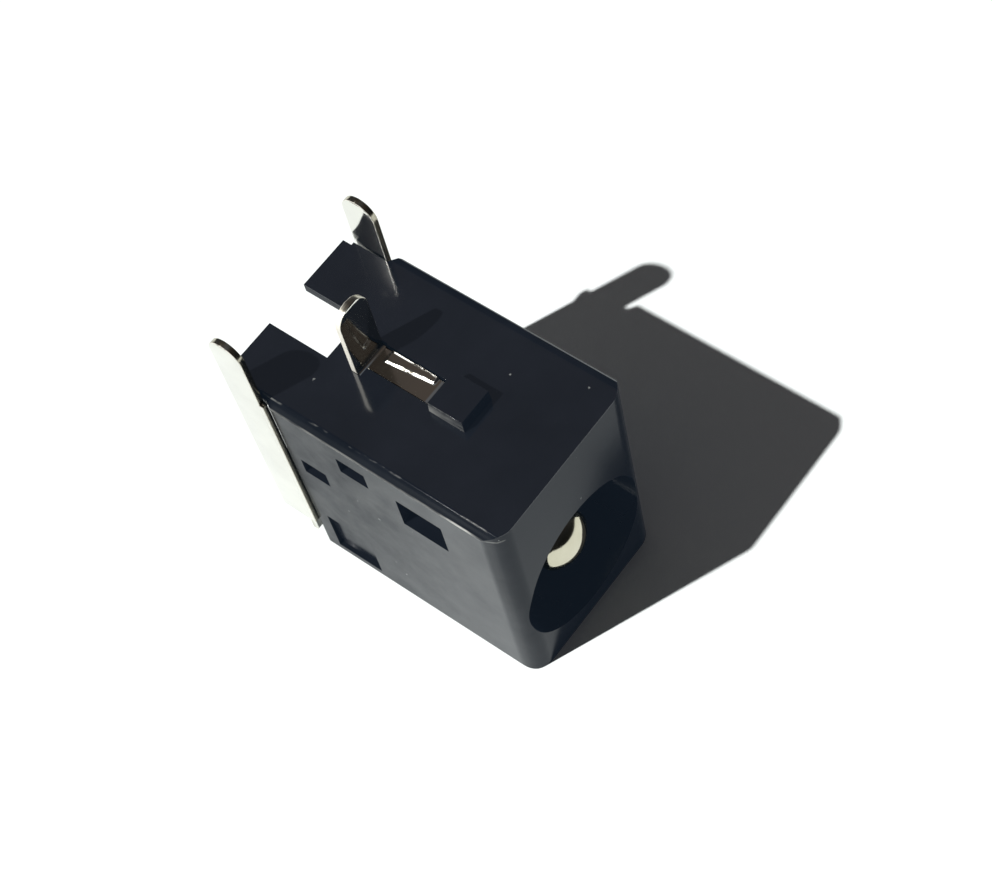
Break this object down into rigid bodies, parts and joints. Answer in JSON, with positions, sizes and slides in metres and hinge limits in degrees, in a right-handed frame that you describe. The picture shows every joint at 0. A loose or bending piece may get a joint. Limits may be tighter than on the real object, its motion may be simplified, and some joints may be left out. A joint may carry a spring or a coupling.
{
  "type": "dc barrel jack",
  "caption": "Through-hole barrel power jack: a glossy black moulded block with a round plug socket and centre pin in front, and flat solder tails standing up from its board face.",
  "frame": {"origin": "On the plug's axis, in the plane of the front face: the centre of the socket's mouth.", "axes": "The jack lies on its closed face. X runs across the jack, with the pin's terminal on the -X side. Y runs from the plug's mouth to the back, so a plug leaves towards -Y. +Z points out of the board face, the way the solder tails stand; on a board that lies flat the jack is turned over, with +Z downwards."},
  "size_m": [0.0076, 0.0125, 0.0143],
  "materials": {
    "housing": "glossy moulded black plastic",
    "pin": "turned and nickel plated",
    "terminal": "smooth plated sheet",
    "spring": "smooth plated spring sheet"
  },
  "bodies": {
    "root": {"housing": "housing", "centre_pin": "pin", "pin_terminal": "terminal", "sleeve_spring": "spring", "side_contact": "terminal"}
  },
  "joints": []
}
